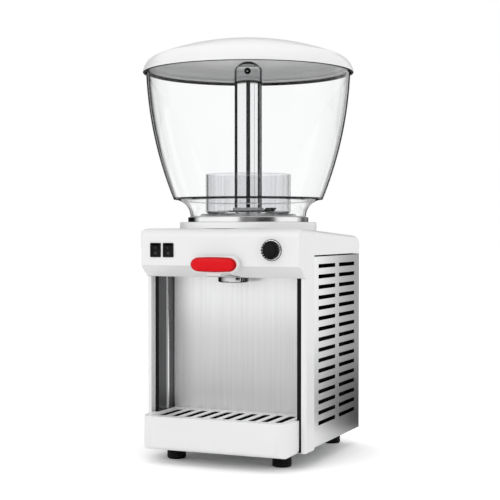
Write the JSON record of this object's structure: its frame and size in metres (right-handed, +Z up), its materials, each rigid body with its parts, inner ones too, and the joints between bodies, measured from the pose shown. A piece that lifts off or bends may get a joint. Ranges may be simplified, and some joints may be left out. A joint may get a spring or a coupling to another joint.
{
  "type": "refrigerated drink dispenser",
  "caption": "Counter-top cooler with a clear domed bowl on a white cabinet, a push lever tap over a drip tray and slotted steel sides; it chills, stirs and pours cold drinks.",
  "frame": {"origin": "on the floor, under the axis of the bowl", "axes": "+Z up, the front with lever and tray faces -Y, +X to the right seen from the front"},
  "size_m": [0.3526, 0.3526, 0.694],
  "materials": {
    "white_plastic": "satin white moulding",
    "polished_steel": "polished stainless",
    "brushed_steel": "brushed stainless",
    "folded_steel": "plated sheet",
    "black_plastic": "fine texture",
    "black_rubber": "matt",
    "clear_plastic": "clear moulding",
    "red_plastic": "glossy",
    "seal_rubber": "soft seal",
    "foam": "cut foam",
    "copper": "drawn copper tube",
    "fins": "blackened thin fins",
    "black_paint": "semi-gloss",
    "motor_case": "satin",
    "magnet": "sintered"
  },
  "bodies": {
    "cabinet": {"body_shell": "white_plastic", "head_floor": "white_plastic", "bay_liner": "brushed_steel", "side_panel_left": "brushed_steel", "side_panel_right": "brushed_steel", "rear_panel": "brushed_steel", "rear_screws": "folded_steel", "base_pan": "folded_steel", "foot_front_left": "black_rubber", "foot_front_right": "black_rubber", "foot_rear_left": "black_rubber", "foot_rear_right": "black_rubber", "foot_screws": "folded_steel", "cord_gland": "black_plastic", "top_collar": "white_plastic", "evaporator_dish": "polished_steel", "bowl_gasket": "seal_rubber", "evaporator_coil": "copper", "insulation": "foam", "riser_column": "polished_steel", "column_nozzle": "black_plastic", "flow_guard": "clear_plastic", "impeller_bush": "white_plastic", "drive_motor": "motor_case", "motor_bracket": "folded_steel", "outlet_tube": "white_plastic", "tap_body": "white_plastic", "tap_cap": "white_plastic", "spout": "polished_steel", "valve_spring": "polished_steel", "lever_pin": "polished_steel", "lever_bracket": "folded_steel", "switch_housing_left": "black_plastic", "switch_housing_right": "black_plastic", "thermostat": "black_plastic", "knob_ring": "polished_steel", "compressor": "black_paint", "compressor_mounts": "black_rubber", "condenser": "fins", "fan_shroud": "folded_steel", "fan_bracket": "folded_steel", "fan_motor": "motor_case", "discharge_pipe": "copper", "liquid_line": "copper", "suction_pipe": "copper"},
    "impeller": {"impeller": "black_plastic"},
    "drive": {"drive_magnet": "magnet", "drive_shaft": "polished_steel"},
    "bowl": {"bowl": "clear_plastic"},
    "lid": {"lid": "white_plastic"},
    "lever": {"lever": "white_plastic", "lever_grip": "red_plastic"},
    "piston": {"valve_piston": "white_plastic"},
    "switch_left": {"switch_rocker_left": "black_plastic"},
    "switch_right": {"switch_rocker_right": "black_plastic"},
    "knob": {"knob": "black_plastic", "thermostat_shaft": "polished_steel"},
    "tray": {"drip_tray": "white_plastic"},
    "grille": {"drip_grille": "polished_steel"},
    "fan": {"fan_blade": "black_plastic"}
  },
  "joints": [
    {"name": "bowl_lift", "type": "slide", "parent": "cabinet", "child": "bowl", "axis": [0, 0, 1], "range_m": [0, 0.27]},
    {"name": "lid_lift", "type": "slide", "parent": "bowl", "child": "lid", "axis": [0, 0, 1], "range_m": [0, 0.12]},
    {"name": "tray_slide", "type": "slide", "parent": "cabinet", "child": "tray", "axis": [0, -1, 0], "range_m": [0, 0.1]},
    {"name": "grille_lift", "type": "slide", "parent": "tray", "child": "grille", "axis": [0, 0, 1], "range_m": [0, 0.05]},
    {"name": "lever_pull", "type": "hinge", "parent": "cabinet", "child": "lever", "pos_m": [0, -0.086, 0.313], "axis": [1, 0, 0], "range_deg": [0, 18], "stiffness_Nm_per_rad": 1, "springref_deg": -17.19},
    {"name": "piston_lift", "type": "slide", "parent": "cabinet", "child": "piston", "axis": [0, 0, 1], "range_m": [0, 0.0068], "deforming": ["valve_spring"]},
    {"name": "switch_left_rock", "type": "hinge", "parent": "cabinet", "child": "switch_left", "pos_m": [-0.111, -0.118, 0.344], "axis": [1, 0, 0], "range_deg": [-16, 0]},
    {"name": "switch_right_rock", "type": "hinge", "parent": "cabinet", "child": "switch_right", "pos_m": [-0.088, -0.118, 0.344], "axis": [1, 0, 0], "range_deg": [-16, 0]},
    {"name": "knob_turn", "type": "hinge", "parent": "cabinet", "child": "knob", "pos_m": [0.092, -0.1255, 0.345], "axis": [0, 1, 0], "range_deg": [0, 270]},
    {"name": "drive_spin", "type": "hinge", "parent": "cabinet", "child": "drive", "pos_m": [0, 0, 0.39], "axis": [0, 0, 1], "continuous": true},
    {"name": "impeller_spin", "type": "hinge", "parent": "cabinet", "child": "impeller", "pos_m": [0, 0, 0.405], "axis": [0, 0, 1], "continuous": true},
    {"name": "fan_spin", "type": "hinge", "parent": "cabinet", "child": "fan", "pos_m": [0.0806, 0.08, 0.129], "axis": [1, 0, 0], "continuous": true}
  ],
  "couplings": [
    {"joint": "piston_lift", "follows": "lever_pull", "m_per_rad": 0.02136},
    {"joint": "impeller_spin", "follows": "drive_spin", "ratio": 1}
  ]
}
